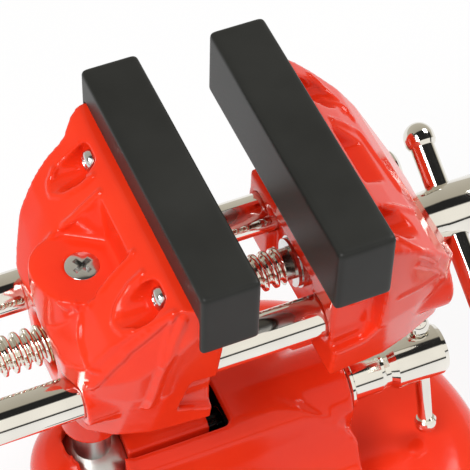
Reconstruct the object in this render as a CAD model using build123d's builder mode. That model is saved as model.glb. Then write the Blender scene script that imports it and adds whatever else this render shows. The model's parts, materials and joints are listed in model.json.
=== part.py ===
from build123d import *
import os
from math import cos, pi, sin

os.makedirs("parts", exist_ok=True)

# Suction base bench vise with 70 mm jaws, a ball-mounted head and a screw-driven moving jaw.
# Millimetres, +Z up. +X runs along the guide rods from the fixed jaw to the moving jaw and
# the origin is the centre of the base's underside. The jaws stand 17.4 mm open.

# Jaws: depths are measured outward from each jaw's inner face, heights from the rod plane
rod_plane = 122.0
gap_centre = -12.0
jaw_gap = 17.4
cover_length = 70.0
cover_width = 13.4
cover_top = 45.8
cover_foot = 27.4
cover_lip_foot = 37.2
cover_wall = 1.8
bar_gap = 0.2
end_gap = 0.1
face_reach = jaw_gap / 2 + 6.0
plate_thickness = face_reach - jaw_gap / 2 - cover_wall
jaw_wall = 3.5
foot_height = -14.0
bar_depth = cover_width - plate_thickness - 2 * cover_wall
plan_rounding = 3.0
roof_rounding = 6.0
solid_side_depth = 11.0
hollow_half = 20.0

# Recess in each side of a jaw casting, open toward the inner face (depths and heights)
fixed_recess = ((-1, 5.5), (6.3, 7.5), (8.6, -5), (-1, -9.5))
moving_recess = ((-1, 19), (9.8, 19), (9.8, 2.5), (7.5, -1.5), (-1, -3.5))
recess_floor = 23.2

# Plan corners (depth, half width) of one half of a jaw casting at three heights
plan_heights = (foot_height, 5.0, 36.0)
fixed_plans = (
    ((0, 24), (14, 23), (22, 20.6), (28, 16.5), (30, 11)),
    ((0, 27), (12, 27.5), (20, 25.5), (28, 21.5), (31, 14)),
    ((0, 33.5), (9, 31.5), (15, 30.5), (26, 28), (33, 18)),
)
moving_plans = (
    ((0, 24), (14, 23), (22, 20.6), (31, 17), (34.5, 12)),
    ((0, 27), (12, 27.5), (20, 25.5), (29, 22), (35, 15)),
    ((0, 33.5), (9, 31.5), (15, 30.5), (26, 28), (34, 18)),
)
# Roof line behind the cover (depth, height) and the ceiling of the hollow under it
roof_line = ((7.5, 37), (12, 34.3), (17.5, 29.5), (23, 24), (27, 18.5), (33, 8), (37, 0))
ceiling_line = ((-1, 25), (14, 25), (19, 23), (24, 17.5), (28, 11), (37, -4))

# Guide rods and the lead screw between them
rod_spacing = 32.8
rod_radius = 5.0
rod_left = -96.0
near_rod_end = 33.2
far_rod_end = 38.4
sleeve_radius = 7.2
sliding_gap = 0.06
screw_radius = 4.7
screw_left = -94.0
screw_shank_left = 0.3
screw_shank_radius = 3.9
screw_tube_radius = 6.5
screw_tube_depth = 2.4
boss_face = 35.4
head_seat_radius = 7.2
clip_groove_radius = 3.1
washer_thickness = 1.2
clip_thickness = 1.0
head_start = 35.7
head_profile = (
    (35.7, 5.6), (36.3, 6.1), (40.7, 6.6), (41.2, 6.75), (53.2, 6.75), (54.2, 6.3), (54.6, 5.5),
)
washer_radius = 6.4
clip_radius = 5.9
clip_opening = 5.4
nut_radius = 7.5
nut_length = 16.0

# Tommy bars: the one of the lead screw leans, the one of the clamp screw hangs on its knob
handle_x = 43.8
handle_lean = (0, 0.88, 0.475)
handle_radius = 3.0
handle_upper = 18.8
handle_length = 58.0
handle_knob = 3.8
clamp_bar_x = 42.2
clamp_lean = (0, 0.33, 0.944)
clamp_bar_radius = 2.0
clamp_bar_upper = 9.1
clamp_bar_length = 31.6
clamp_knob = 2.9

# Plate screws, and the countersunk screw that holds the nut
plate_screw_y = 20.7
plate_screw_height = 31.5
plate_screw_seat = 10.4
plate_screw_radius = 2.0
plate_screw_head = 2.75
pocket_radius = 4.4
panel_height = 23.4
panel_radius = 10.7
panel_inner_depth = 12.7
nut_screw_radius = 2.0
nut_screw_head = 3.9

# Depths of the sleeves and walls in the two jaw castings
fixed_depth = 29.0
sleeve_depth = 30.8
panel_half = 9.7
panel_wall = 16.0
slab_height = 18.5

# Scoops of the two roofs: half widths and heights of their cross sections
fixed_scoop_outer = ((9.6, panel_height), (10.6, 42))
fixed_scoop_inner = ((4.0, panel_height), (13.7, 42))
fixed_scoop_depth = 13.1
moving_scoop = ((6.0, 27.4), (14.0, 42))
nut_wall = 2.5
web_half = 12.0
web_height = 22.0

# Ball joint
ball_x = -47.6
ball_z = 65.5
ball_radius = 11.0
stem_radius = 4.7
stem_top = rod_plane - 12.0
stem_boss_radius = 7.35
stem_boss_foot = rod_plane - 36.0
cup_radius = 15.6
mouth_radius = 7.2
tilt_slot = 10.6

# Arm of the base with the clamp block in its window
arm_radius = 11.2
arm_end = 18.5
window_half = 7.6
window_end = -14.0
window_floor = ball_z - 6.6
window_height = 30.0
block_half = 6.0
block_end = -19.2
clamp_thread_radius = 4.0
clamp_head_profile = (
    (19.5, 7.2), (19.9, 7.6), (20.6, 7.6), (21, 7.2), (21, 6.1), (29, 6.1), (30.2, 5.5), (31.6, 5.5),
    (33.4, 6.8), (46.4, 6.8), (47.6, 6.2), (48, 5.2),
)

# Pedestal: half widths and heights of its flare about the arm, and its top line along X
pedestal_flare = ((8, 11), (11.5, 8), (13, 0), (15, -7), (17.5, -13), (24, -19), (36, -27))
pedestal_top = ((-2, 11), (4, 9.3), (10, 4.8), (15, -2), (18.5, -7))
pedestal_foot = 30.0
pillar_radius = 13.5

# Bell of the base (radius, height), outside and inside, and the room above it for the yoke
bell_outside = ((65, 7), (64, 18), (61.5, 28), (56, 34.5), (47, 37.8), (34, 39.5))
bell_top = 41.0
bell_inside = ((61, 7), (60, 18), (57.5, 26), (52, 31), (44, 34), (34, 35.5))
bell_ceiling = 36.5
room_length = 36.0
room_width = 16.0
room_height = 14.0

# Suction pad, its plate and the cam lever
pad_radius = 60.5
pad_rim = 2.0
pad_middle = 4.2
pad_middle_radius = 26.0
pad_plate_radius = 22.0
pad_plate_thickness = 2.0
yoke_depth = 10.0
yoke_side = 4.0
yoke_disc_radius = 9.0
yoke_window_foot = 11.2
yoke_window_half = 10.6
shaft_z = 24.0
shaft_radius = 4.5
cam_base = 5.8
cam_rise = 4.2
cam_turn = pi
cam_width = 8.0
boss_radius = 12.0
boss_end = -67.0
boss_length = 30.0
far_boss_radius = 7.5
far_boss_start = 46.0
far_boss_end = 57.0
far_bore_end = 60.0
lever_side = -67.5
lever_thickness = 7.0
lever_length = 40.0
lever_hub_radius = 10.0
lever_tip_radius = 6.0
lever_socket = 3.0
lever_screw_radius = 2.5
lever_screw_depth = 8.0
lever_screw_head = 4.5
lever_screw_head_height = 2.2
grip_start = 16.0
grip_margin = 1.8
grip_side = 1.5


def write(piece, name):
    """Label a finished piece and write its STEP file."""
    piece.label = name
    export_step(piece, f"parts/{name}.step")


def jaw_x(side, depth):
    """x of a plane behind the inner face of the fixed (side -1) or the moving jaw (side 1)."""
    return gap_centre + side * (face_reach + depth)


def along_x(x, y=0.0, z=rod_plane):
    """Plane across the X direction, its normal along +X, with its local y upward."""
    return Plane(origin=(x, y, z), x_dir=(0, 1, 0), z_dir=(1, 0, 0))


def rod_shape(radius, start, end, y=0.0, z=rod_plane):
    """Round bar along X from start to end."""
    with BuildPart() as bar:
        with BuildSketch(along_x(min(start, end), y, z)):
            Circle(radius)
        extrude(amount=abs(end - start))
    return bar.part


def plan_section(side, height, corners, inset):
    """Plan outline of a jaw casting at one height, rounded, or sharp and drawn in by the inset."""
    half = [(jaw_x(side, depth), half_width) for depth, half_width in corners]
    other = [(x, -y) for x, y in reversed(half)]
    with BuildSketch(Plane.XY.offset(rod_plane + height)) as outline:
        with BuildLine():
            Polyline(*half, *other, close=True)
        make_face()
        if inset:
            offset(amount=-inset, kind=Kind.INTERSECTION)
        else:
            inner_face = jaw_x(side, 0)
            fillet([v for v in outline.vertices() if abs(v.X - inner_face) > 1], plan_rounding)
    return outline.sketch


def hood_shape(side, plans, top_line, inset=0.0):
    """Hood of a jaw casting: a loft through its plan outlines, cut to a roof line."""
    heights = (plan_heights[0] - inset, *plan_heights[1:])
    foot = rod_plane + heights[0]
    half_span = 2 * cover_length
    with BuildPart() as hood:
        loft([plan_section(side, z, plan, inset) for z, plan in zip(heights, plans)], ruled=True)
        with BuildSketch(Plane.XZ) as profile:
            with BuildLine():
                roof = [(jaw_x(side, depth), rod_plane + height) for depth, height in top_line]
                corner = (jaw_x(side, -2), roof[0][1])
                Polyline((jaw_x(side, 37), foot), (jaw_x(side, -2), foot), corner, *roof, close=True)
            make_face()
            if not inset:
                bends = [v for v in profile.vertices() if foot + 1 < v.Y < roof[0][1] - 1]
                fillet(bends, roof_rounding)
        extrude(amount=half_span, both=True, mode=Mode.INTERSECT)
    return hood.part


def jaw_hollow_shape(side, plans):
    """Hollow of a jaw casting, with full sides near the inner face and a slab under the scoop."""
    with BuildPart() as hollow:
        add(hood_shape(side, plans, ceiling_line, jaw_wall))
        with BuildSketch(Plane.XY.offset(rod_plane + foot_height - jaw_wall)):
            with Locations((jaw_x(side, solid_side_depth / 2 - 1), 0)):
                Rectangle(solid_side_depth + 2, 2 * cover_length)
                Rectangle(solid_side_depth + 2, 2 * hollow_half, mode=Mode.SUBTRACT)
        extrude(amount=cover_length, mode=Mode.SUBTRACT)
        with BuildSketch(Plane.XY.offset(rod_plane + slab_height)):
            Rectangle(4 * cover_length, 2 * (panel_half + jaw_wall))
        extrude(amount=cover_length, mode=Mode.SUBTRACT)
    return hollow.part


def turned_shape(profile, z=rod_plane):
    """Round piece along X from its (x, radius) profile, about an axis at height z."""
    ends = ((profile[-1][0], 0), (profile[0][0], 0))
    with BuildPart() as turned:
        with BuildSketch(Plane.XZ):
            with BuildLine():
                Polyline(*[(x, z + radius) for x, radius in (*profile, *ends)], close=True)
            make_face()
        revolve(axis=Axis((0, 0, z), (1, 0, 0)))
    return turned.part


def scoop_section(x, half_section):
    """Cross section of a roof scoop at x, from (half width, height) points of its near side."""
    corners = [*half_section, *[(-y, z) for y, z in reversed(half_section)]]
    with BuildSketch(along_x(x)) as section:
        with BuildLine():
            Polyline(*corners, close=True)
        make_face()
    return section.sketch


def jaw_casting_shape(side, plans, recess):
    """Hollow jaw casting with the bar that carries the plate, rod sleeves and screw pockets."""
    inner, outer = sorted((jaw_x(side, 0), jaw_x(side, bar_depth)))
    bar_half = cover_length / 2 - cover_wall - bar_gap
    bar_top = cover_top - cover_wall
    ends_depth = cover_width - plate_thickness - cover_wall + end_gap
    with BuildPart() as casting:
        add(hood_shape(side, plans, roof_line))
        add(jaw_hollow_shape(side, plans), mode=Mode.SUBTRACT)
        with BuildSketch(Plane.XY.offset(rod_plane + cover_foot)):
            with Locations(((inner + outer) / 2, 0)):
                Rectangle(bar_depth, 2 * bar_half)
        extrude(amount=bar_top - cover_foot)
        with BuildSketch(Plane.XY.offset(rod_plane + cover_foot - end_gap)):
            with Locations((jaw_x(side, ends_depth / 2 - 1), 0)):
                Rectangle(ends_depth + 2, 3 * cover_length)
                Rectangle(ends_depth + 2, cover_length - 2 * cover_wall, mode=Mode.SUBTRACT)
        extrude(amount=cover_top, mode=Mode.SUBTRACT)
        for y in (-plate_screw_y, plate_screw_y):
            height = rod_plane + plate_screw_height
            seat = jaw_x(side, plate_screw_seat)
            add(rod_shape(pocket_radius, seat, jaw_x(side, 40), y, height), mode=Mode.SUBTRACT)
            hole = rod_shape(plate_screw_radius + 0.1, jaw_x(side, -1), seat, y, height)
            add(hole, mode=Mode.SUBTRACT)
        for y in (-1, 1):
            with BuildSketch(Plane.XZ.offset(-y * recess_floor)):
                with BuildLine():
                    corners = [(jaw_x(side, depth), rod_plane + z) for depth, z in recess]
                    Polyline(*corners, close=True)
                make_face()
            extrude(amount=-y * bar_depth * 2, mode=Mode.SUBTRACT)
    return casting.part


def jaw_plate_shape(side):
    """Jaw plate of steel with its two threaded holes."""
    inner, outer = sorted((jaw_x(side, -plate_thickness), jaw_x(side, 0)))
    with BuildPart() as plate:
        with BuildSketch(Plane.XY.offset(rod_plane + cover_foot + 0.4)):
            with Locations(((inner + outer) / 2, 0)):
                Rectangle(plate_thickness, cover_length - 2 * cover_wall - 0.4)
        extrude(amount=cover_top - cover_wall - cover_foot - 0.4)
        for y in (-plate_screw_y, plate_screw_y):
            height = rod_plane + plate_screw_height
            add(rod_shape(plate_screw_radius, inner - 1, outer + 1, y, height), mode=Mode.SUBTRACT)
    return plate.part


def plate_screws_shape(side):
    """The two pan head screws of a jaw plate."""
    seat = jaw_x(side, plate_screw_seat)
    with BuildPart() as screws:
        for y in (-plate_screw_y, plate_screw_y):
            height = rod_plane + plate_screw_height
            add(rod_shape(plate_screw_radius, jaw_x(side, 0.8 - plate_thickness), seat, y, height))
            add(rod_shape(plate_screw_head, seat, seat + side * 2.0, y, height))
    return screws.part


def jaw_cover_shape(side):
    """Soft cover: a channel with closed ends that hooks over the plate and the bar."""
    front = gap_centre + side * jaw_gap / 2
    middle = front + side * cover_width / 2
    hollow = cover_width - 2 * cover_wall
    hollow_length = cover_length - 2 * cover_wall
    with BuildPart() as cover:
        with BuildSketch(Plane.XY.offset(rod_plane + cover_foot)):
            with Locations((middle, 0)):
                Rectangle(cover_width, cover_length)
        extrude(amount=cover_top - cover_foot)
        fillet(cover.edges().filter_by(Axis.Z), 1.0)
        fillet(cover.faces().sort_by(Axis.Z)[-1].edges(), 1.0)
        with BuildSketch(Plane.XY.offset(rod_plane + cover_foot)):
            with Locations((middle, 0)):
                Rectangle(hollow, hollow_length)
        extrude(amount=cover_top - cover_foot - cover_wall, mode=Mode.SUBTRACT)
        with BuildSketch(Plane.XY.offset(rod_plane + cover_foot)):
            with Locations((front + side * (cover_width - cover_wall / 2), 0)):
                Rectangle(cover_wall + 0.2, hollow_length)
        extrude(amount=cover_lip_foot - cover_foot, mode=Mode.SUBTRACT)
    return cover.part


def knob_shape(radius, bar_radius):
    """Domed knob about +Z, centred on the origin, with a blind hole for the end of its bar."""
    floor = 0.2 * radius
    collar = -0.6 * radius
    waist = bar_radius + 0.45 * (radius - bar_radius)
    with BuildPart() as knob:
        with BuildSketch(Plane.XZ):
            with BuildLine():
                Polyline(
                    (0, radius), (0, floor), (bar_radius, floor), (bar_radius, collar), (waist, collar),
                    (radius, collar + 0.25 * radius), (radius, 0),
                )
                RadiusArc((radius, 0), (0, radius), -radius)
            make_face()
        revolve(axis=Axis.Z)
    return knob.part


def knobs_shape(centre, direction, reaches, radius, bar_radius):
    """The two knobs pressed on the ends of a tommy bar."""
    knob = knob_shape(radius, bar_radius)
    with BuildPart() as knobs:
        for reach in reaches:
            outward = Vector(*direction) * (1 if reach > 0 else -1)
            with Locations(Plane(origin=Vector(*centre) + Vector(*direction) * reach, z_dir=outward)):
                add(knob)
    return knobs.part


def tommy_bar_shape(centre, direction, reaches, radius, knob_radius):
    """Round bar whose ends sit inside the knobs."""
    low, high = sorted(reaches)
    start = Vector(*centre) + Vector(*direction) * (low - 0.2 * knob_radius)
    with BuildPart() as bar:
        with BuildSketch(Plane(origin=start, z_dir=direction)):
            Circle(radius)
        extrude(amount=high - low + 0.4 * knob_radius)
    return bar.part


# Base casting: a low bell with a flared pedestal, a round arm and a ball cup on top
with BuildPart() as base_casting:
    # pedestal: flared across the arm, its top sloping down beside the arm's end
    with BuildSketch(Plane(origin=(ball_x, 0, ball_z), x_dir=(0, 1, 0), z_dir=(1, 0, 0))):
        with BuildLine():
            Polyline(*pedestal_flare, *[(-y, z) for y, z in reversed(pedestal_flare)], close=True)
        make_face()
    extrude(amount=arm_end - ball_x)
    with BuildSketch(Plane.XZ):
        with BuildLine():
            top = [(x, ball_z + height) for x, height in pedestal_top]
            back = ball_x - 1
            Polyline((back, pedestal_foot), (back, top[0][1]), *top, (arm_end, pedestal_foot), close=True)
        make_face()
    extrude(amount=cover_length, both=True, mode=Mode.INTERSECT)
    # bell
    with BuildSketch(Plane.XZ):
        with BuildLine():
            Polyline((0, bell_top), (0, 0), (bell_outside[0][0], 0), bell_outside[0])
            Spline(*bell_outside)
            Line(bell_outside[-1], (0, bell_top))
        make_face()
    revolve(axis=Axis.Z)
    add(rod_shape(arm_radius, ball_x, arm_end, 0, ball_z))
    with Locations((ball_x, 0, ball_z)):
        Sphere(cup_radius)
    # pillar under the cup
    with BuildSketch(Plane.XY.offset(pedestal_foot)):
        with Locations((ball_x, 0)):
            Circle(pillar_radius)
    extrude(amount=ball_z - pedestal_foot)
    # boss of the lever shaft
    with BuildSketch(Plane(origin=(0, boss_end, shaft_z), x_dir=(1, 0, 0), z_dir=(0, 1, 0))):
        Circle(boss_radius)
    extrude(amount=boss_length)
    # hollow of the bell and the room for the yoke above it
    with BuildSketch(Plane.XZ):
        with BuildLine():
            Polyline((0, bell_ceiling), (0, 0), (bell_inside[0][0], 0), bell_inside[0])
            Spline(*bell_inside)
            Line(bell_inside[-1], (0, bell_ceiling))
        make_face()
    revolve(axis=Axis.Z, mode=Mode.SUBTRACT)
    with BuildSketch(Plane.XY.offset(pedestal_foot)):
        Rectangle(room_length, room_width)
    extrude(amount=room_height, mode=Mode.SUBTRACT)
    # far bearing of the lever shaft, inside the bell
    with BuildSketch(Plane(origin=(0, far_boss_start, shaft_z), x_dir=(1, 0, 0), z_dir=(0, 1, 0))):
        Circle(far_boss_radius)
    extrude(amount=far_boss_end - far_boss_start)
    # ball socket, its mouth and the slot that lets the stem tilt toward -Y
    with Locations((ball_x, 0, ball_z)):
        Sphere(ball_radius + sliding_gap, mode=Mode.SUBTRACT)
    with BuildSketch(Plane.XY.offset(ball_z)):
        with Locations((ball_x, 0)):
            Circle(mouth_radius)
    extrude(amount=20, mode=Mode.SUBTRACT)
    with BuildSketch(Plane(origin=(ball_x, 0, ball_z), x_dir=(1, 0, 0), z_dir=(0, -1, 0))):
        Circle(tilt_slot / 2)
        with Locations((0, 10)):
            Rectangle(tilt_slot, 20)
    extrude(amount=20, mode=Mode.SUBTRACT)
    # window of the clamp block and the threaded hole of the clamp screw
    with BuildSketch(Plane.XY.offset(window_floor)):
        with Locations(((ball_x + window_end) / 2, 0)):
            Rectangle(window_end - ball_x, 2 * window_half)
    extrude(amount=window_height, mode=Mode.SUBTRACT)
    thread = clamp_thread_radius + sliding_gap
    add(rod_shape(thread, window_end - 2, arm_end + 1, 0, ball_z), mode=Mode.SUBTRACT)
    # bore of the lever shaft, blind in the far wall
    with BuildSketch(Plane(origin=(0, boss_end - 1, shaft_z), x_dir=(1, 0, 0), z_dir=(0, 1, 0))):
        Circle(shaft_radius + sliding_gap)
    extrude(amount=far_bore_end - boss_end + 1, mode=Mode.SUBTRACT)
write(base_casting.part, "base_casting")

# Rubber suction pad, thick in the middle and thin at its rim
with BuildPart() as suction_pad:
    with BuildSketch(Plane.XZ):
        with BuildLine():
            top = ((pad_radius, pad_rim), (pad_middle_radius, pad_middle), (0, pad_middle))
            Polyline((0, 0), (pad_radius, 0), *top, close=True)
        make_face()
    revolve(axis=Axis.Z)
write(suction_pad.part, "suction_pad")

# Steel disc bonded to the pad
with BuildPart() as pad_plate:
    with BuildSketch(Plane.XY.offset(pad_middle)):
        Circle(pad_plate_radius)
    extrude(amount=pad_plate_thickness)
write(pad_plate.part, "pad_plate")

# Pull yoke: a frame around the cam, raised by its top bar
yoke_foot = pad_middle + pad_plate_thickness
yoke_window_top = shaft_z + cam_base + 0.3
yoke_top = yoke_window_top + yoke_side + 1
with BuildPart() as pull_yoke:
    with BuildSketch(Plane.XZ.offset(-yoke_depth / 2)):
        with Locations((0, (yoke_foot + yoke_top) / 2)):
            Rectangle(2 * (yoke_window_half + yoke_side), yoke_top - yoke_foot)
        with Locations((0, (yoke_window_foot + yoke_window_top) / 2)):
            Rectangle(2 * yoke_window_half, yoke_window_top - yoke_window_foot, mode=Mode.SUBTRACT)
    extrude(amount=yoke_depth)
    with BuildSketch(Plane.XY.offset(yoke_foot)):
        Circle(yoke_disc_radius)
    extrude(amount=yoke_side)
write(pull_yoke.part, "pull_yoke")

# Cam shaft: the cam's radius grows evenly over half a turn
cam_steps = 12
with BuildPart() as cam_shaft:
    with BuildSketch(Plane(origin=(0, lever_side - lever_socket, shaft_z), z_dir=(0, 1, 0))):
        Circle(shaft_radius)
    extrude(amount=far_bore_end - 0.5 - lever_side + lever_socket)
    with BuildSketch(Plane(origin=(0, -cam_width / 2, shaft_z), x_dir=(-1, 0, 0), z_dir=(0, 1, 0))):
        with BuildLine():
            turns = [cam_turn * step / cam_steps for step in range(cam_steps + 1)]
            radii = [cam_base + cam_rise * turn / cam_turn for turn in turns]
            spiral = [(r * sin(t), r * cos(t)) for r, t in zip(radii, turns)]
            Spline(*spiral)
            ThreePointArc(spiral[-1], (-cam_base - 1.2, -2.2), spiral[0])
        make_face()
    extrude(amount=cam_width)
    with BuildSketch(Plane(origin=(0, lever_side - lever_socket, shaft_z), z_dir=(0, 1, 0))):
        Circle(lever_screw_radius)
    extrude(amount=lever_socket + lever_screw_depth, mode=Mode.SUBTRACT)
write(cam_shaft.part, "cam_shaft")

# Lever on the outer end of the shaft, with a plastic grip and its screw
lever_plane = Plane(origin=(0, lever_side, shaft_z), x_dir=(-1, 0, 0), z_dir=(0, 1, 0))
with BuildPart() as lever_arm:
    with BuildSketch(lever_plane):
        Circle(lever_hub_radius)
        with BuildLine():
            hub = lever_hub_radius - 1
            tip = lever_tip_radius
            Polyline((0, hub), (lever_length, tip), (lever_length, -tip), (0, -hub), close=True)
        make_face()
        with Locations((lever_length, 0)):
            Circle(lever_tip_radius)
    extrude(amount=-lever_thickness)
    with BuildSketch(lever_plane):
        Circle(shaft_radius)
    extrude(amount=-lever_socket, mode=Mode.SUBTRACT)
    with BuildSketch(lever_plane):
        Circle(lever_screw_radius)
    extrude(amount=-lever_thickness, mode=Mode.SUBTRACT)
write(lever_arm.part, "lever_arm")

with BuildPart() as lever_screw:
    with BuildSketch(lever_plane.offset(lever_screw_depth)):
        Circle(lever_screw_radius)
    extrude(amount=-lever_screw_depth - lever_thickness)
    with BuildSketch(lever_plane.offset(-lever_thickness)):
        Circle(lever_screw_head)
    extrude(amount=-lever_screw_head_height)
    fillet(lever_screw.edges().group_by(Axis.Y)[0], lever_screw_head_height / 3)
write(lever_screw.part, "lever_screw")

# Plastic grip over the outer half of the lever
with BuildPart() as lever_grip:
    with BuildSketch(lever_plane.offset(grip_side)):
        with BuildLine():
            tip = lever_tip_radius + grip_margin
            root = tip + grip_margin
            upper = ((grip_start, root), (lever_length, tip))
            Polyline(*upper, (lever_length, -tip), (grip_start, -root), close=True)
        make_face()
        with Locations((lever_length, 0)):
            Circle(tip)
    extrude(amount=-lever_thickness - 2 * grip_side)
    fillet(lever_grip.edges().filter_by(Plane.XZ), grip_side - 0.1)
    add(lever_arm.part, mode=Mode.SUBTRACT)
write(lever_grip.part, "lever_grip")

# Ball with its stem
with BuildPart() as ball_stem:
    with Locations((ball_x, 0, ball_z)):
        Sphere(ball_radius)
    with BuildSketch(Plane.XY.offset(ball_z)):
        with Locations((ball_x, 0)):
            Circle(stem_radius)
    extrude(amount=stem_top - ball_z)
write(ball_stem.part, "ball_stem")

# Clamp block: its end is hollowed to the ball and its top follows the round of the arm
with BuildPart() as clamp_block:
    add(rod_shape(arm_radius, ball_x + mouth_radius, block_end, 0, ball_z))
    with BuildSketch(Plane.XY.offset(window_floor + 0.3)):
        with Locations(((ball_x + block_end) / 2, 0)):
            Rectangle(block_end - ball_x, 2 * block_half)
    extrude(amount=window_height, mode=Mode.INTERSECT)
    with Locations((ball_x, 0, ball_z)):
        Sphere(ball_radius + sliding_gap, mode=Mode.SUBTRACT)
write(clamp_block.part, "clamp_block")

# Clamp screw with its flange and cross hole
with BuildPart() as clamp_screw:
    thread_end = clamp_head_profile[0][0]
    thread = ((block_end, clamp_thread_radius), (thread_end, clamp_thread_radius))
    add(turned_shape((*thread, *clamp_head_profile), ball_z))
    with BuildSketch(Plane(origin=(clamp_bar_x, 0, ball_z), z_dir=clamp_lean)):
        Circle(clamp_bar_radius + sliding_gap)
    extrude(amount=20, both=True, mode=Mode.SUBTRACT)
write(clamp_screw.part, "clamp_screw")

clamp_centre = (clamp_bar_x, 0, ball_z)
clamp_reaches = (clamp_bar_upper, clamp_bar_upper - clamp_bar_length)
clamp_bar = tommy_bar_shape(clamp_centre, clamp_lean, clamp_reaches, clamp_bar_radius, clamp_knob)
write(clamp_bar, "clamp_bar")
clamp_knobs = knobs_shape(clamp_centre, clamp_lean, clamp_reaches, clamp_knob, clamp_bar_radius)
write(clamp_knobs, "clamp_bar_knobs")

# Fixed jaw: panel for the nut screw on its roof, sliding bores for the rods, boss for the stem
fixed_outer = jaw_x(-1, fixed_depth)
with BuildPart() as fixed_jaw:
    add(jaw_casting_shape(-1, fixed_plans, fixed_recess))
    with BuildSketch(Plane.XY.offset(rod_plane + panel_height)):
        with Locations((ball_x, 0)):
            Circle(panel_radius)
        with Locations((ball_x + panel_radius, 0)):
            Rectangle(2 * panel_radius, 2 * panel_radius, mode=Mode.SUBTRACT)
    extrude(amount=20, mode=Mode.SUBTRACT)
    outer_section = scoop_section(ball_x, fixed_scoop_outer)
    inner_section = scoop_section(jaw_x(-1, fixed_scoop_depth), fixed_scoop_inner)
    loft([outer_section, inner_section], ruled=True, mode=Mode.SUBTRACT)
    with BuildSketch(Plane.XY.offset(rod_plane + panel_height)):
        with Locations((ball_x, 0)):
            Circle(panel_radius)
    extrude(amount=-panel_wall)
    for y in (-rod_spacing / 2, rod_spacing / 2):
        add(rod_shape(sleeve_radius, fixed_outer, jaw_x(-1, 0), y))
    add(rod_shape(nut_radius + nut_wall, fixed_outer, jaw_x(-1, bar_depth)))
    add(rod_shape(nut_radius, jaw_x(-1, bar_depth), jaw_x(-1, 0)))
    with BuildSketch(Plane.XY.offset(stem_boss_foot)):
        with Locations((ball_x, 0)):
            Circle(stem_boss_radius)
    extrude(amount=rod_plane - 8 - stem_boss_foot)
    for y in (-rod_spacing / 2, rod_spacing / 2):
        add(rod_shape(rod_radius + sliding_gap, fixed_outer - 10, jaw_x(-1, -1), y), mode=Mode.SUBTRACT)
    add(rod_shape(nut_radius, fixed_outer - 10, fixed_outer + nut_length), mode=Mode.SUBTRACT)
    add(rod_shape(screw_radius + 0.3, fixed_outer, jaw_x(-1, -1)), mode=Mode.SUBTRACT)
    with BuildSketch(Plane.XY.offset(stem_boss_foot - 1)):
        with Locations((ball_x, 0)):
            Circle(stem_radius + sliding_gap)
    extrude(amount=stem_top - stem_boss_foot + 1.3, mode=Mode.SUBTRACT)
    with Locations(Location((ball_x, 0, rod_plane + panel_height))):
        CounterSinkHole(nut_screw_radius, nut_screw_head, depth=panel_height - 6, counter_sink_angle=90)
write(fixed_jaw.part, "fixed_jaw")

# Brass nut of the lead screw and the countersunk screw that holds it
with BuildPart() as jaw_nut:
    add(rod_shape(nut_radius, fixed_outer, fixed_outer + nut_length))
    thread_hole = rod_shape(screw_radius + sliding_gap, fixed_outer - 1, fixed_outer + nut_length + 1)
    add(thread_hole, mode=Mode.SUBTRACT)
    with BuildSketch(Plane.XY.offset(rod_plane + 5.6)):
        with Locations((ball_x, 0)):
            Circle(nut_screw_radius)
    extrude(amount=5, mode=Mode.SUBTRACT)
write(jaw_nut.part, "jaw_nut")

with BuildPart() as nut_screw:
    with BuildSketch(Plane.XZ):
        with BuildLine():
            low = rod_plane + 5.7
            high = rod_plane + panel_height
            neck = high - (nut_screw_head - nut_screw_radius)
            Polyline(
                (ball_x, low), (ball_x + nut_screw_radius, low), (ball_x + nut_screw_radius, neck),
                (ball_x + nut_screw_head, high), (ball_x, high), close=True,
            )
        make_face()
    revolve(axis=Axis((ball_x, 0, 0), (0, 0, 1)))
write(nut_screw.part, "nut_screw")

# Moving jaw: rods pressed into its sleeves, a tube for the shank of the lead screw
with BuildPart() as moving_jaw:
    add(jaw_casting_shape(1, moving_plans, moving_recess))
    scoop_start = scoop_section(jaw_x(1, panel_inner_depth), moving_scoop)
    extrude(scoop_start, amount=20, dir=(1, 0, 0), mode=Mode.SUBTRACT)
    for y in (-rod_spacing / 2, rod_spacing / 2):
        add(rod_shape(sleeve_radius, jaw_x(1, 0), jaw_x(1, sleeve_depth), y))
    add(rod_shape(screw_tube_radius, jaw_x(1, screw_tube_depth), boss_face))
    add(rod_shape(nut_radius + 1, jaw_x(1, sleeve_depth - 2), boss_face))
    with BuildSketch(along_x(jaw_x(1, 0) - 1)):
        with Locations((0, -4)):
            Rectangle(2 * web_half, web_height)
    extrude(amount=1 + screw_tube_depth, mode=Mode.SUBTRACT)
    for y, bore_end in ((-rod_spacing / 2, near_rod_end + 0.3), (rod_spacing / 2, far_rod_end + 1)):
        add(rod_shape(rod_radius, jaw_x(1, -1), bore_end, y), mode=Mode.SUBTRACT)
    add(rod_shape(screw_shank_radius + sliding_gap, jaw_x(1, -1), boss_face + 1), mode=Mode.SUBTRACT)
    add(rod_shape(head_seat_radius, boss_face, boss_face + 10), mode=Mode.SUBTRACT)
write(moving_jaw.part, "moving_jaw")

for side, jaw in ((-1, "fixed"), (1, "moving")):
    write(jaw_plate_shape(side), f"{jaw}_jaw_plate")
    write(plate_screws_shape(side), f"{jaw}_plate_screws")
    write(jaw_cover_shape(side), f"{jaw}_jaw_cover")

# Guide rods
for side, place, rod_end in ((-1, "near", near_rod_end), (1, "far", far_rod_end)):
    with BuildPart() as guide_rod:
        add(rod_shape(rod_radius, rod_left, rod_end, side * rod_spacing / 2))
        chamfer(guide_rod.edges().filter_by(GeomType.CIRCLE), 0.8)
    write(guide_rod.part, f"guide_rod_{place}")

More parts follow.
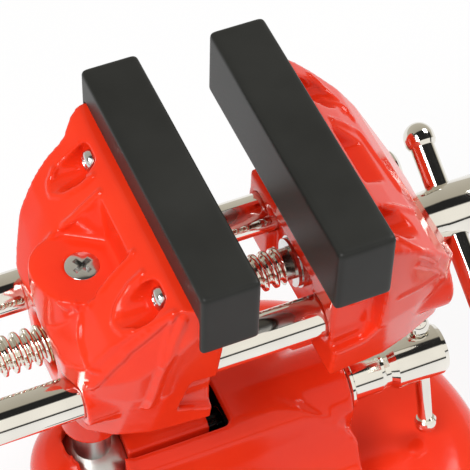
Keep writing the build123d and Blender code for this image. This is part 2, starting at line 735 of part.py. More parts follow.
# Lead screw with its head, washer and clip
washer_face = jaw_x(1, screw_tube_depth) - 0.1
clip_face = washer_face - washer_thickness - 0.05
with BuildPart() as lead_screw:
    tip = ((screw_left, screw_shank_radius), (screw_left + 1, screw_radius))
    thread = (*tip, (screw_shank_left, screw_radius))
    shank = ((screw_shank_left, screw_shank_radius), (head_start, screw_shank_radius))
    add(turned_shape((*thread, *shank, *head_profile)))
    with BuildSketch(along_x(clip_face - clip_thickness)):
        Circle(screw_radius + 1)
        Circle(clip_groove_radius, mode=Mode.SUBTRACT)
    extrude(amount=clip_thickness, mode=Mode.SUBTRACT)
    with BuildSketch(Plane(origin=(handle_x, 0, rod_plane), z_dir=handle_lean)):
        Circle(handle_radius + sliding_gap)
    extrude(amount=20, both=True, mode=Mode.SUBTRACT)
write(lead_screw.part, "lead_screw")

with BuildPart() as thrust_washer:
    with BuildSketch(along_x(washer_face - washer_thickness)):
        Circle(washer_radius)
        Circle(screw_shank_radius + 0.1, mode=Mode.SUBTRACT)
    extrude(amount=washer_thickness)
write(thrust_washer.part, "thrust_washer")

with BuildPart() as e_clip:
    with BuildSketch(along_x(clip_face - clip_thickness)):
        Circle(clip_radius)
        Circle(clip_groove_radius, mode=Mode.SUBTRACT)
        with Locations((0, -5)):
            Rectangle(clip_opening, 10, mode=Mode.SUBTRACT)
    extrude(amount=clip_thickness)
write(e_clip.part, "e_clip")

handle_centre = (handle_x, 0, rod_plane)
handle_reaches = (handle_upper, handle_upper - handle_length)
handle_bar = tommy_bar_shape(handle_centre, handle_lean, handle_reaches, handle_radius, handle_knob)
write(handle_bar, "handle_bar")
handle_knobs = knobs_shape(handle_centre, handle_lean, handle_reaches, handle_knob, handle_radius)
write(handle_knobs, "handle_bar_knobs")
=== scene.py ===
# %% [markdown]
# # A suction base vise
# The solids of this vise come ready made from its CAD frame: two cast jaws on guide rods, a
# lead screw between them, and a ball joint on a bell-shaped base. Here they get what the
# solids leave out: enamel with soft cast edges, chrome, rubber, the screw thread and the
# cross recesses of the screws. Everything is in metres, +Z up, with the table at z = 0.

import json
from math import cos, pi, radians, sin

import bmesh
import bpy
import numpy as np
from mathutils import Matrix, Vector
from mathutils.kdtree import KDTree


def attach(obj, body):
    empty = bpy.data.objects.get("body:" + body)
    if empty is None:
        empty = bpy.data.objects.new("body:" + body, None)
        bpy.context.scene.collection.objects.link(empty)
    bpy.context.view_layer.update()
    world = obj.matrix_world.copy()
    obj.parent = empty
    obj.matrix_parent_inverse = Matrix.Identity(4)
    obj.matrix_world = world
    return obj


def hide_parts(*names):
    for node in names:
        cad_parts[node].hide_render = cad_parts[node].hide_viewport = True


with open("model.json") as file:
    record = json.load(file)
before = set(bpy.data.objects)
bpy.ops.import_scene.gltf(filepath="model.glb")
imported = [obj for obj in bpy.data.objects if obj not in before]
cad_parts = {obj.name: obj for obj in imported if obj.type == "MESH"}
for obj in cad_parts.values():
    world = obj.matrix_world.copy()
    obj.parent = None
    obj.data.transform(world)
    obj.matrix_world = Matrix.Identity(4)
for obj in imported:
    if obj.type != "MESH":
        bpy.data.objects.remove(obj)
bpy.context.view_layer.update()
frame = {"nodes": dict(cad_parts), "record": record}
MM = 0.001

# %% [markdown]
# Materials are built from nodes. Wiring them by hand takes many lines, so one small class
# wraps an output socket and lets shader maths read like Python: `1 - mask` or `a * b` each
# add a Math node. Every other node comes from the one method `node`, which sets the node's
# settings first and then its sockets.

# %% Shader maths as Python


class Shade:
    """An output socket of a material's node tree."""

    def __init__(self, tree, socket=None):
        self.tree = tree
        self.socket = socket

    def node(self, kind, sockets=None, output=0, stops=None, **settings):
        """Add a node and return one of its outputs."""
        made = self.tree.nodes.new(kind)
        for name, value in settings.items():
            setattr(made, name, value)
        if stops:
            ramp = made.color_ramp
            while len(ramp.elements) < len(stops):
                ramp.elements.new(0.5)
            for element, (place, colour) in zip(ramp.elements, stops):
                element.position = place
                element.color = colour
        for name, value in (sockets or {}).items():
            if isinstance(value, Shade):
                self.tree.links.new(value.socket, made.inputs[name])
            else:
                made.inputs[name].default_value = value
        return Shade(self.tree, made.outputs[output] if made.outputs else None)

    def maths(self, operation, *values):
        """Add a Math node on the given values and links."""
        return self.node("ShaderNodeMath", dict(enumerate(values)), operation=operation)

    def __add__(self, other):
        return self.maths("ADD", self, other)

    __radd__ = __add__

    def __sub__(self, other):
        return self.maths("SUBTRACT", self, other)

    def __rsub__(self, other):
        return self.maths("SUBTRACT", other, self)

    def __mul__(self, other):
        return self.maths("MULTIPLY", self, other)

    __rmul__ = __mul__


def new_material(name):
    """An empty node material: its tree as a Shade, its shader and the object's coordinates."""
    material = bpy.data.materials.new(name)
    material.use_nodes = True
    material.node_tree.nodes.clear()
    tree = Shade(material.node_tree)
    place = tree.node("ShaderNodeTexCoord", output="Object")
    return material, tree, place


def close_material(material, tree, bump=None, **sockets):
    """Finish a material with one Principled shader."""
    inputs = {name.replace("_", " "): value for name, value in sockets.items()}
    if bump:
        height, strength, distance = bump
        inputs["Normal"] = tree.node(
            "ShaderNodeBump", {"Height": height, "Strength": strength, "Distance": distance}
        )
    shader = tree.node("ShaderNodeBsdfPrincipled", inputs)
    tree.node("ShaderNodeOutputMaterial", {"Surface": shader})
    return material


def noise(tree, place, per_metre, detail=2.0, roughness=0.5, output="Fac"):
    """Noise with about this many bumps in a metre."""
    sockets = {"Vector": place, "Scale": per_metre, "Detail": detail, "Roughness": roughness}
    return tree.node("ShaderNodeTexNoise", sockets, output=output)


def blend_colours(tree, factor, low, high):
    """Colour that goes from low to high with the factor."""
    stops = [(0.3, (*low, 1)), (0.7, (*high, 1))]
    return tree.node("ShaderNodeValToRGB", {"Fac": factor}, stops=stops)


def inside_box(tree, place, low, high):
    """1 inside the box between two corners, in metres, and 0 outside."""
    inside = 1.0
    for axis, least, most in zip("XYZ", low, high):
        along = tree.node("ShaderNodeSeparateXYZ", {0: place}, output=axis)
        off_middle = tree.maths("ABSOLUTE", along - (least + most) / 2)
        near_middle = tree.maths("LESS_THAN", off_middle, (most - least) / 2)
        inside = near_middle * inside
    return inside


def darkened(tree, colour, mask, dark):
    """The colour, but dark where the mask is 1."""
    mixed = tree.node("ShaderNodeMix", {"Factor": mask}, output=2, data_type="RGBA")
    mix = mixed.socket.node
    tree.tree.links.new(colour.socket, mix.inputs[6])
    mix.inputs[7].default_value = (*dark, 1)
    return mixed


print("materials are built with the class Shade")

# %% [markdown]
# ## Enamel
# The castings are zinc under a thick, glossy orange-red enamel. Paint flows a little before
# it sets, so its surface is never flat: a faint, wide waviness breaks up the reflections.
# Low roughness gives the hard white glints on top of the deep colour. The base has one spot of
# painted shade: the slot behind the clamp block, with the tip of the clamp screw in it, is
# painted nearly black for the deep shadow that falls there.

# %% Enamel of the castings


def enamel_material(name, painted_shade_box=None):
    material, tree, place = new_material(name)
    cloudy = noise(tree, place, 60, 3)
    colour = blend_colours(tree, cloudy, (0.84, 0.032, 0.008), (0.89, 0.042, 0.011))
    # Painted shade: inside the box the colour turns nearly black, for the deep shadow in the slot
    if painted_shade_box:
        colour = darkened(tree, colour, inside_box(tree, place, *painted_shade_box), (0.006, 0.004, 0.004))
    waves = noise(tree, place, 240, 1.5)
    speckle = noise(tree, place, 1500, 2)
    return close_material(
        material, tree, bump=(waves + speckle * 0.12, 0.18, 0.0002),
        Base_Color=colour, Roughness=0.1 + cloudy * 0.08, Specular_IOR_Level=0.26,
    )


# %% [markdown]
# ## Chrome, steel and brass
# Chrome plate is a mirror with a faint haze. Bare steel keeps the fine lines of its rolling,
# which a noise stretched along one direction gives. Brass only needs its own colour.

# %% Metals


def metal_material(name, colour, dull, haze, stretch=(1, 1, 1), grain=0.0, shadow_box=None):
    material, tree, place = new_material(name)
    mapped = tree.node("ShaderNodeMapping", {"Vector": place, "Scale": stretch})
    lines = noise(tree, mapped, 900, 3, 0.6)
    darker = tuple(value * 0.9 for value in colour)
    shade = blend_colours(tree, noise(tree, place, 90), darker, colour)
    # Painted shade: inside the box the metal turns nearly black, for the shadow it lies in
    if shadow_box:
        shade = darkened(tree, shade, inside_box(tree, place, *shadow_box), (0.01, 0.01, 0.01))
    return close_material(
        material, tree, bump=(lines, grain, 0.00005),
        Base_Color=shade,
        Metallic=1.0, Roughness=dull + lines * haze,
    )


# %% [markdown]
# ## Rubber and plastic
# The jaw covers are moulded from a dark soft plastic. Its fine, sand-like grain scatters
# light, so a wide soft sheen shows on the top edges instead of a sharp glint.

# %% Rubber and plastic


def rubber_material(name, colour, dull, grain):
    material, tree, place = new_material(name)
    sand = noise(tree, place, 2600, 2)
    worn = noise(tree, place, 45, 3)
    lighter = tuple(value * 1.35 + 0.002 for value in colour)
    return close_material(
        material, tree, bump=(sand, grain, 0.00006),
        Base_Color=blend_colours(tree, worn, colour, lighter),
        Roughness=dull + worn * 0.08 + sand * 0.05, Specular_IOR_Level=0.18,
    )


CHROME = (0.86, 0.83, 0.76)
finishes = {
    "red_enamel": enamel_material("red_enamel"),
    "chrome": metal_material("chrome_plate", CHROME, 0.05, 0.05, grain=0.03),
    "screw_steel": metal_material("bright_steel", (0.72, 0.72, 0.71), 0.14, 0.08, grain=0.05),
    "plate_steel": metal_material("rolled_steel", (0.45, 0.45, 0.46), 0.3, 0.15, (1, 0.1, 1), 0.2),
    "zinc": metal_material("plated_zinc", (0.55, 0.55, 0.53), 0.28, 0.15, grain=0.1),
    "nut_brass": metal_material("turned_brass", (0.72, 0.53, 0.25), 0.2, 0.1, grain=0.1),
    "soft_cover": rubber_material("cover_plastic", (0.016, 0.0165, 0.015), 0.33, 0.25),
    "pad_rubber": rubber_material("pad_rubber", (0.022, 0.022, 0.022), 0.5, 0.3),
    "grip_plastic": rubber_material("grip_plastic", (0.015, 0.015, 0.016), 0.35, 0.2),
}
for entry in frame["record"]["subparts"]:
    node = frame["nodes"][entry["node"]]
    node.data.materials.clear()
    node.data.materials.append(finishes[entry["material_slot"]])
# The slot behind the clamp block, where shade is painted onto the base and the clamp screw
slot_box = ((-0.0196, -0.0080, 0.050), (-0.0136, 0.0080, 0.0742))
base_enamel_painted_shade = enamel_material("base_enamel_painted_shade", slot_box)
# The clamp screw's chrome, with painted shade where it lies in the slot
chrome_painted_shade = metal_material("chrome_painted_shade", CHROME, 0.05, 0.05, grain=0.03, shadow_box=slot_box)
frame["nodes"]["clamp_screw"].data.materials[0] = chrome_painted_shade
print("finishes:", sorted(finishes))

# %% [markdown]
# ## Soft cast edges
# A casting has no sharp edge: the mould and the thick enamel round them all, and each rounding
# catches a bright line of light. A voxel remesh turns the hard solid into an even skin, and a
# few smoothing passes then melt its edges inside and out by about a millimetre, while flat
# walls stay where they are. The jaws are sculpted further, as clay would be: a facet presses
# the skin flat onto a plane, a push moves a soft region of it, and a ridge follows the skin
# below a line. Their places are given on the jaw: depth behind its inner face, y, and height
# above the rods. The clamp block and the moulded jaw covers are only softened.

# %% Castings and covers with soft edges


def to_object(shape, name):
    """A finished bmesh as a new object, with the mesh and the object named alike."""
    mesh = bpy.data.meshes.new(name)
    shape.to_mesh(mesh)
    shape.free()
    made = bpy.data.objects.new(name, mesh)
    bpy.context.scene.collection.objects.link(made)
    return made


def merged_copy(node_name, name):
    """A copy of a CAD node with its loose triangles joined, as a new object."""
    source = frame["nodes"][node_name]
    shape = bmesh.new()
    shape.from_mesh(source.data)
    bmesh.ops.remove_doubles(shape, verts=shape.verts, dist=1e-6)
    return to_object(shape, name)


def apply_modifiers(piece):
    """Make the result of a piece's modifiers its own mesh."""
    graph = bpy.context.evaluated_depsgraph_get()
    result = bpy.data.meshes.new_from_object(piece.evaluated_get(graph))
    piece.modifiers.clear()
    piece.data = result


def read_places(mesh):
    """The vertices of a mesh as an array of rows, in millimetres."""
    places = np.empty(3 * len(mesh.vertices))
    mesh.vertices.foreach_get("co", places)
    return places.reshape(-1, 3) / MM


def cut_facet(mesh, point, normal):
    """Press whatever lies beyond a plane flat onto it."""
    places = read_places(mesh)
    outward = np.array(normal) / np.linalg.norm(normal)
    beyond = (places - np.array(point)) @ outward
    places -= np.outer(np.maximum(beyond, 0), outward)
    mesh.vertices.foreach_set("co", places.ravel() * MM)
    mesh.update()


def raise_ridge(mesh, points, width, height):
    """Raise a rounded ridge on the skin, below a line that runs near it through a few points."""
    places = read_places(mesh)
    normals = np.empty(3 * len(mesh.vertices))
    mesh.vertices.foreach_get("normal", normals)
    skin = KDTree(len(places))
    for index, place in enumerate(places):
        skin.insert(place, index)
    skin.balance()
    crest = []
    for start, end in zip(points, points[1:]):
        run = Vector(end) - Vector(start)
        steps = round(run.length / RIDGE_STEP) + 1
        crest += [skin.find(Vector(start) + run * step / steps)[0] for step in range(steps + 1)]
    crest = np.array(crest)
    crest[1:-1] = (crest[:-2] + crest[1:-1] + crest[2:]) / 3
    distance = np.full(len(places), np.inf)
    for start, end in zip(crest, crest[1:]):
        run = end - start
        share = np.clip((places - start) @ run / max(run @ run, 1e-9), 0, 1)
        distance = np.minimum(distance, np.linalg.norm(places - start - np.outer(share, run), axis=1))
    lift = height * np.maximum(1 - (distance / width) ** 2, 0) ** 2
    places += normals.reshape(-1, 3) * lift[:, None]
    mesh.vertices.foreach_set("co", places.ravel() * MM)
    mesh.update()


def push_skin(mesh, centre, radius, offset):
    """Move the skin around a centre by at most offset, fading out towards the radius."""
    places = read_places(mesh)
    distance = np.linalg.norm(places - np.array(centre), axis=1)
    share = np.maximum(1 - (distance / radius) ** 2, 0) ** 2
    places += np.outer(share, offset)
    mesh.vertices.foreach_set("co", places.ravel() * MM)
    mesh.update()


def carve_box(piece, low, high):
    """Cut the box between two corners, in millimetres, out of a closed piece."""
    shape = bmesh.new()
    corners = bmesh.ops.create_cube(shape, size=1.0)["verts"]
    bmesh.ops.scale(shape, verts=corners, vec=(Vector(high) - Vector(low)) * MM)
    bmesh.ops.translate(shape, verts=corners, vec=(Vector(high) + Vector(low)) * MM / 2)
    tool = to_object(shape, "box_tool")
    cut = piece.modifiers.new("box", "BOOLEAN")
    cut.object = tool
    cut.solver = "EXACT"
    apply_modifiers(piece)
    bpy.data.objects.remove(tool)


def add_boss(piece, start, length, radius):
    """Add a round boss along +X from its start point, in millimetres; the remesh merges it."""
    shape = bmesh.new()
    shape.from_mesh(piece.data)
    middle = (Vector(start) + Vector((length / 2, 0, 0))) * MM
    bmesh.ops.create_cone(
        shape, cap_ends=True, cap_tris=False, segments=48, radius1=radius * MM, radius2=radius * MM,
        depth=length * MM, matrix=Matrix.Translation(middle) @ Matrix.Rotation(pi / 2, 4, "Y"),
    )
    shape.to_mesh(piece.data)
    shape.free()


def soft_skin(
    node_name, name, body, slot_name, voxel, passes, facets=(), pushes=(), ridges=(), boxes=(), bosses=(),
):
    """Replace a CAD node by its softened skin; facets to bosses hold arguments of the tools above."""
    piece = merged_copy(node_name, name)
    for box in boxes:
        carve_box(piece, *box)
    for boss in bosses:
        add_boss(piece, *boss)
    remesh = piece.modifiers.new("skin", "REMESH")
    remesh.mode = "VOXEL"
    remesh.voxel_size = voxel
    apply_modifiers(piece)
    for facet in facets:
        cut_facet(piece.data, *facet)
    for push in pushes:
        push_skin(piece.data, *push)
    smooth = piece.modifiers.new("melt", "SMOOTH")
    smooth.factor = 0.5
    smooth.iterations = passes
    apply_modifiers(piece)
    for ridge in ridges:
        raise_ridge(piece.data, *ridge)
    for face in piece.data.polygons:
        face.use_smooth = True
    piece.data.materials.clear()
    piece.data.materials.append(finishes[slot_name])
    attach(piece, body)
    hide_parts(node_name)
    print(name, "has", len(piece.data.polygons), "faces")
    return piece


# Everything here is in millimetres, apart from the voxel
JAW_VOXEL = 0.53 * MM
JAW_PASSES = 8
RIDGE_STEP = 1.0
ROD_HEIGHT = 122.0
ROD_SIDE = 16.4
OPENING_MIDDLE = -12.0
FACE_OFFSET = 14.7
POCKET_SIDE = 20.0
POCKET_DEPTH = 12.0
RIM_REACH = 9.0
RIM_HALF_WIDTH = 5.5
RIM_STEPS = 7
ROOF_TOP = 42.5
ROOF_SLOPE = 0.78


def on_jaw(side, *places):
    """Points in millimetres from (depth, y, height) places; side is -1 for the fixed jaw."""
    face = OPENING_MIDDLE + side * FACE_OFFSET
    return [(face + side * depth, y, ROD_HEIGHT + height) for depth, y, height in places]


def pocket_rim(side, middle, inwards):
    """An arc on the roof round a screw pocket, from its inward side to its far end and past it."""
    places = []
    for step in range(RIM_STEPS + 1):
        angle = radians(135) * step / RIM_STEPS
        depth = POCKET_DEPTH + RIM_REACH * sin(angle)
        y = middle + inwards * RIM_HALF_WIDTH * cos(angle)
        places.append((depth, y, ROOF_TOP - ROOF_SLOPE * depth))
    return on_jaw(side, *places)


# The near side of the fixed jaw is flat where it faces outwards by 28 degrees and up by 8
facet_turn, facet_tilt = radians(28), radians(8)
facet_outward = (
    -sin(facet_turn) * cos(facet_tilt), -cos(facet_turn) * cos(facet_tilt), sin(facet_tilt),
)
fixed_facets = [(on_jaw(-1, (10.5, -28, 35))[0], facet_outward)]
fixed_pushes = [
    (on_jaw(-1, (8, 31, 34))[0], 7, (0.3, 2.4, 0.3)),
    (on_jaw(-1, (15, 27, 32))[0], 7, (0.6, -0.8, 0)),
    (on_jaw(-1, (30, 9, 20))[0], 15, (-1.4, 0.6, 0)),
]
fixed_ridges = [
    (on_jaw(-1, (11, -28, 35), (20, -25, 23), (28, -22, 10)), 1.6, 0.75),
    (on_jaw(-1, (11, -28, 34), (14, -28, 19)), 0.9, 0.4),
    (on_jaw(-1, (9, -29, 34), (13, -29, 20), (16, -26, 1)), 1.6, 0.7),
    (on_jaw(-1, (26, -9, 23), (27, -15, 18), (26, -22, 16)), 1.1, 0.5),
    (on_jaw(-1, (29, -7, 23), (28, -16, 18), (27, -22, 16)), 1.0, 0.4),
    (pocket_rim(-1, -POCKET_SIDE, 1), 1.2, 0.6),
    (pocket_rim(-1, POCKET_SIDE, -1), 1.2, 0.6),
    (on_jaw(-1, (13, 10, 34), (24, 10, 23)), 1.3, 0.7),
    (on_jaw(-1, (12, -9, 34), (23, -11, 23)), 1.1, 0.5),
]
moving_ridges = [
    (on_jaw(1, (17, 21, 27), (21, 17, 26)), 1.2, 0.5),
    (on_jaw(1, (14, 11, 32), (21, 10, 26), (23, -7, 24)), 1.5, 0.6),
    (on_jaw(1, (15, -16, 31), (23, -14, 24)), 1.3, 0.6),
    (on_jaw(1, (12, -27, 34), (18, -29, 29), (23, -26, 21)), 1.3, 0.6),
    (on_jaw(1, (17, -29, 25), (24, -26, 17), (30, -22, 5)), 1.1, 0.5),
    (on_jaw(1, (16, 27, 31), (21, 20, 27), (22, 15, 25)), 1.3, 0.5),
    (on_jaw(1, (14, -28, 14), (25, -24, 12)), 1.2, 0.5),
]
# The moving jaw's far side stands back behind its rod sleeve, and a boss closes the near bore
moving_boxes = [((1, 9, 130.5), (9, 36, 144)), ((1, 25, 112), (9, 36, 131))]
moving_bosses = [((26, -ROD_SIDE, ROD_HEIGHT), 8.4, 6.4)]
soft_skin(
    "fixed_jaw", "fixed_jaw_cast", "head", "red_enamel", JAW_VOXEL, JAW_PASSES,
    facets=fixed_facets, pushes=fixed_pushes, ridges=fixed_ridges,
)
soft_skin(
    "moving_jaw", "moving_jaw_cast", "slide", "red_enamel", JAW_VOXEL, JAW_PASSES,
    ridges=moving_ridges, boxes=moving_boxes, bosses=moving_bosses,
)
base_cast = soft_skin("base_casting", "base_cast", "base", "red_enamel", 0.9 * MM, 6)
# The base takes the enamel with painted shade in the slot
base_cast.data.materials[0] = base_enamel_painted_shade
soft_skin("clamp_block", "clamp_block_cast", "clamp", "red_enamel", 0.4 * MM, 5)
soft_skin("fixed_jaw_cover", "fixed_cover_moulded", "head", "soft_cover", 0.4 * MM, 14)
soft_skin("moving_jaw_cover", "moving_cover_moulded", "slide", "soft_cover", 0.4 * MM, 14)

# %% [markdown]
# ## The lead screw's thread
# The thread is what makes the screw recognisable, so it is real geometry. One pitch of its
# outline is spun about the axis while each step also moves it along by a small part of the
# pitch: that is a helix. The shank and the head with its cross hole come from the CAD solid,
# cut off where the thread begins.

# %% Lead screw
ROD_PLANE = ROD_HEIGHT * MM
THREAD_PITCH = 2.65 * MM
THREAD_START = -94 * MM
THREAD_END = 0.3 * MM
STEPS_A_TURN = 28
thread_outline = ((0, 3.3), (0.3, 3.36), (0.62, 4.15), (0.85, 4.6), (1.15, 4.7), (1.5, 4.7), (1.8, 4.6),
                  (2.03, 4.15), (2.35, 3.36), (2.65, 3.3))


def cut_off(shape, point, outward):
    """Cut a shape by a plane, remove what lies outward and close the cut."""
    geometry = shape.verts[:] + shape.edges[:] + shape.faces[:]
    cut = bmesh.ops.bisect_plane(shape, geom=geometry, plane_co=point, plane_no=outward, clear_outer=True)
    rim = [item for item in cut["geom_cut"] if isinstance(item, bmesh.types.BMEdge)]
    bmesh.ops.edgeloop_fill(shape, edges=rim)


def new_piece(shape, name, body, slot_name, *replaced, smooth_angle=35):
    """Turn a finished bmesh into a shown piece that rides on its body."""
    mesh = bpy.data.meshes.new(name)
    shape.to_mesh(mesh)
    shape.free()
    for face in mesh.polygons:
        face.use_smooth = True
    mesh.set_sharp_from_angle(angle=radians(smooth_angle))
    mesh.materials.append(finishes[slot_name])
    piece = bpy.data.objects.new(name, mesh)
    bpy.context.scene.collection.objects.link(piece)
    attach(piece, body)
    if replaced:
        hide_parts(*replaced)
    print(name, "has", len(mesh.polygons), "faces")
    return piece


thread = bmesh.new()
corners = [thread.verts.new((THREAD_START - THREAD_PITCH + x * MM, 0, r * MM)) for x, r in thread_outline]
line = [thread.edges.new(pair) for pair in zip(corners, corners[1:])]
turns = round((THREAD_END - THREAD_START) / THREAD_PITCH) + 2
bmesh.ops.spin(
    thread, geom=corners + line, cent=(0, 0, 0), axis=(1, 0, 0), angle=2 * pi * turns,
    steps=STEPS_A_TURN * turns, dvec=(THREAD_PITCH / STEPS_A_TURN, 0, 0),
)
bmesh.ops.remove_doubles(thread, verts=thread.verts, dist=2e-6)
cut_off(thread, (THREAD_START, 0, 0), (-1, 0, 0))
cut_off(thread, (THREAD_END, 0, 0), (1, 0, 0))
bmesh.ops.recalc_face_normals(thread, faces=thread.faces)
bmesh.ops.translate(thread, verts=thread.verts, vec=(0, 0, ROD_PLANE))
plain = bmesh.new()
plain.from_mesh(frame["nodes"]["lead_screw"].data)
bmesh.ops.remove_doubles(plain, verts=plain.verts, dist=1e-6)
cut_off(plain, (THREAD_END, 0, 0), (-1, 0, 0))
plain_mesh = bpy.data.meshes.new("plain_end")
plain.to_mesh(plain_mesh)
plain.free()
thread.from_mesh(plain_mesh)
bpy.data.meshes.remove(plain_mesh)
new_piece(thread, "lead_screw_turned", "spindle", "chrome", "lead_screw")

# %% [markdown]
# ## Screws with cross recesses
# The five small screws of the head are bought parts with a cross recess. Each head is spun
# from its outline about +Z, the recess is cut with a Boolean modifier by two crossed, tapered
# bars, and the finished screw is then laid where the CAD has its plain stand-in.

# %% Cross recess screws


def spun(outline, steps=40):
    """A closed round shape about +Z, in millimetres, from (radius, height) points on its outline."""
    shape = bmesh.new()
    corners = [shape.verts.new((r, 0, z)) for r, z in outline]
    line = [shape.edges.new(pair) for pair in zip(corners, corners[1:])]
    bmesh.ops.spin(
        shape, geom=corners + line, cent=(0, 0, 0), axis=(0, 0, 1), angle=2 * pi, steps=steps, use_merge=True,
    )
    bmesh.ops.remove_doubles(shape, verts=shape.verts, dist=1e-4)
    bmesh.ops.recalc_face_normals(shape, faces=shape.faces)
    return shape


def cross_recessed(outline, top, arm, width, depth):
    """A screw about +Z with a cross recess sunk into its head, as a mesh in millimetres."""
    cutter = bmesh.new()
    for turn in (0, pi / 2):
        bar = bmesh.ops.create_cube(cutter, size=1.0)["verts"]
        bmesh.ops.scale(cutter, verts=bar, vec=(2 * arm, width, 2 * depth))
        for corner in bar:
            if corner.co.z < 0:
                corner.co.x *= 0.35
                corner.co.y *= 0.7
        bmesh.ops.rotate(cutter, verts=bar, cent=(0, 0, 0), matrix=Matrix.Rotation(turn, 3, "Z"))
    bmesh.ops.translate(cutter, verts=cutter.verts, vec=(0, 0, top))
    tool = to_object(cutter, "recess_tool")
    screw = to_object(spun(outline), "screw_blank")
    cut = screw.modifiers.new("recess", "BOOLEAN")
    cut.object = tool
    cut.solver = "EXACT"
    cut.use_self = True
    apply_modifiers(screw)
    mesh = screw.data
    for used in (tool, screw):
        bpy.data.objects.remove(used)
    return mesh


def laid(mesh, placements):
    """Copies of a mesh in millimetres, each laid by its own matrix, as one bmesh in metres."""
    together = bmesh.new()
    for placement in placements:
        before = len(together.verts)
        together.from_mesh(mesh)
        together.verts.ensure_lookup_table()
        bmesh.ops.transform(together, verts=together.verts[before:], matrix=placement @ Matrix.Scale(MM, 4))
    return together


countersunk = cross_recessed(
    ((0, -17.7), (2, -17.7), (2, -2.1), (3.7, -0.35), (3.9, -0.2), (3.9, -0.1), (3.75, 0), (0, 0)),
    top=0, arm=3.5, width=1.5, depth=2.2,
)
BALL_X = -47.6 * MM
PANEL_TOP = ROD_PLANE + 23.4 * MM
turned_a_little = Matrix.Translation((BALL_X, 0, PANEL_TOP)) @ Matrix.Rotation(radians(28), 4, "Z")
new_piece(laid(countersunk, [turned_a_little]), "nut_screw_head", "head", "screw_steel", "nut_screw")

pan_head = cross_recessed(
    ((0, -13.8), (2, -13.8), (2, 0), (2.6, 0), (2.75, 0.25), (2.7, 0.9), (2.35, 1.5), (1.7, 1.87), (0.9, 2.0),
     (0, 2.0)),
    top=2.0, arm=2.2, width=1.05, depth=1.5,
)
SEAT = (8.7 + 6.0 + 10.4) * MM
SCREW_HEIGHT = ROD_PLANE + 31.5 * MM
for side, jaw, body in ((-1, "fixed", "head"), (1, "moving", "slide")):
    places = [
        Matrix.Translation((OPENING_MIDDLE * MM + side * SEAT, y * MM, SCREW_HEIGHT))
        @ Matrix.Rotation(side * pi / 2, 4, "Y") @ Matrix.Rotation(radians(turn), 4, "Z")
        for y, turn in ((-20.7, 20), (20.7, 65))
    ]
    new_piece(laid(pan_head, places), f"{jaw}_plate_screws_cross", body, "screw_steel", f"{jaw}_plate_screws")

# %% [markdown]
# ## Camera and light
# The camera looks down on the jaws from the front left, with a long lens. One broad soft
# lamp above on the left, a weaker one on the right and a pale room give the enamel its long
# glints. What mirrors show of the room is banded, so that chrome has dark and bright stripes.

# %% Camera
# A long lens, the place it looks from in metres, and which way its right and its back point
LENS = 166.2
CAMERA_PLACE = (-0.1393, -0.2786, 0.5173)
CAMERA_RIGHT = (0.919, -0.395, 0.020)
CAMERA_BACK = (-0.263, -0.572, 0.777)
camera_data = bpy.data.cameras.new("camera")
camera_data.sensor_width = 36.0
camera_data.lens = LENS
camera_data.clip_start = 0.01
camera = bpy.data.objects.new("camera", camera_data)
bpy.context.scene.collection.objects.link(camera)
right = Vector(CAMERA_RIGHT).normalized()
back = Vector(CAMERA_BACK).normalized()
up = back.cross(right).normalized()
right = up.cross(back)
axes_and_place = zip(right, up, back, CAMERA_PLACE)
camera.matrix_world = Matrix((*axes_and_place, (0, 0, 0, 1)))
bpy.context.scene.camera = camera

# %% Lamps, room and floor


def soft_lamp(name, position, target, size, watts):
    """A square area lamp that shines at the target."""
    data = bpy.data.lights.new(name, "AREA")
    data.shape = "SQUARE"
    data.size = size
    data.energy = watts
    lamp = bpy.data.objects.new(name, data)
    bpy.context.scene.collection.objects.link(lamp)
    lamp.location = position
    lamp.rotation_euler = (Vector(target) - Vector(position)).to_track_quat("-Z", "Y").to_euler()
    return lamp


jaws = (-0.01, 0, 0.13)
soft_lamp("lamp_key", (-0.55, -0.30, 0.85), jaws, 0.4, 6.3)
soft_lamp("lamp_right", (0.6, 0.1, 0.75), jaws, 0.35, 3.2)


def seen_directly(tree):
    """1 for rays from the camera or from a mirror or glass, 0 for the light of the room."""
    path = tree.node("ShaderNodeLightPath", output="Is Camera Ray").socket.node
    camera_ray, glossy, transmission = (
        Shade(tree.tree, path.outputs[name])
        for name in ("Is Camera Ray", "Is Glossy Ray", "Is Transmission Ray")
    )
    return tree.maths("MAXIMUM", camera_ray, tree.maths("MAXIMUM", glossy, transmission))


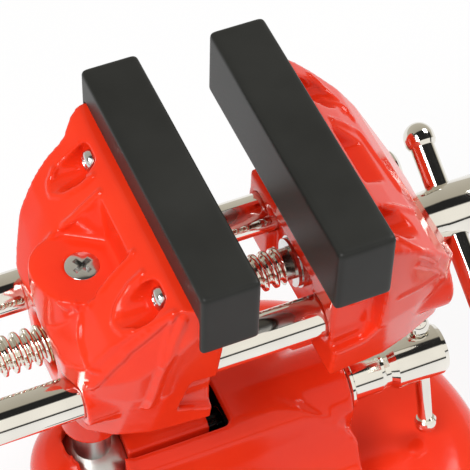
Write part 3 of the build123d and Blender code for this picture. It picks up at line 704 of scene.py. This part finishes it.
world = bpy.data.worlds.new("pale_room")
bpy.context.scene.world = world
world.use_nodes = True
world.node_tree.nodes.clear()
room = Shade(world.node_tree)
soft = room.node("ShaderNodeBackground", {"Color": (1, 0.98, 0.96, 1), "Strength": 0.48})
heading = room.node("ShaderNodeTexCoord", output="Generated")
towards_front = 0 - room.node("ShaderNodeSeparateXYZ", {0: heading}, output="Y")
upwards = room.node("ShaderNodeSeparateXYZ", {0: heading}, output="Z")
turned = room.maths("ARCTAN2", towards_front, upwards) * (0.5 / pi) + 0.5
panels = room.node("ShaderNodeValToRGB", {"Fac": turned}, stops=[
    (0.25, (0.60, 0.57, 0.50, 1)), (0.465, (0.46, 0.43, 0.36, 1)), (0.480, (0.02, 0.02, 0.02, 1)),
    (0.570, (0.02, 0.02, 0.02, 1)), (0.582, (1.0, 0.98, 0.93, 1)), (0.725, (1.0, 0.98, 0.93, 1)),
    (0.735, (0.03, 0.03, 0.03, 1)), (0.748, (0.03, 0.03, 0.03, 1)),
])
mirrored = room.node("ShaderNodeBackground", {"Color": panels, "Strength": 1.0})
white = room.node("ShaderNodeBackground", {"Color": (1, 1, 1, 1), "Strength": 1.0})
glossy_ray = room.node("ShaderNodeLightPath", output="Is Glossy Ray")
surroundings = room.node("ShaderNodeMixShader", {0: glossy_ray, 1: white, 2: mirrored})
shown = room.node("ShaderNodeMixShader", {0: seen_directly(room), 1: soft, 2: surroundings})
room.node("ShaderNodeOutputWorld", {"Surface": shown})

floor_material = bpy.data.materials.new("pale_floor")
floor_material.use_nodes = True
floor_material.node_tree.nodes.clear()
ground = Shade(floor_material.node_tree)
paint = ground.node("ShaderNodeBsdfDiffuse", {"Color": (0.9, 0.9, 0.9, 1)})
glow = ground.node("ShaderNodeEmission", {"Color": (1, 1, 1, 1), "Strength": 1.0})
lit = ground.node("ShaderNodeMixShader", {0: seen_directly(ground) * 0.85, 1: paint, 2: glow})
ground.node("ShaderNodeOutputMaterial", {"Surface": lit})
surface = bmesh.new()
bmesh.ops.create_grid(surface, x_segments=1, y_segments=1, size=3.0)
floor_mesh = bpy.data.meshes.new("floor")
surface.to_mesh(floor_mesh)
surface.free()
floor_mesh.materials.append(floor_material)
floor = bpy.data.objects.new("floor", floor_mesh)
bpy.context.scene.collection.objects.link(floor)
bpy.context.scene.view_settings.view_transform = "Standard"

# %% The end
bpy.context.view_layer.update()
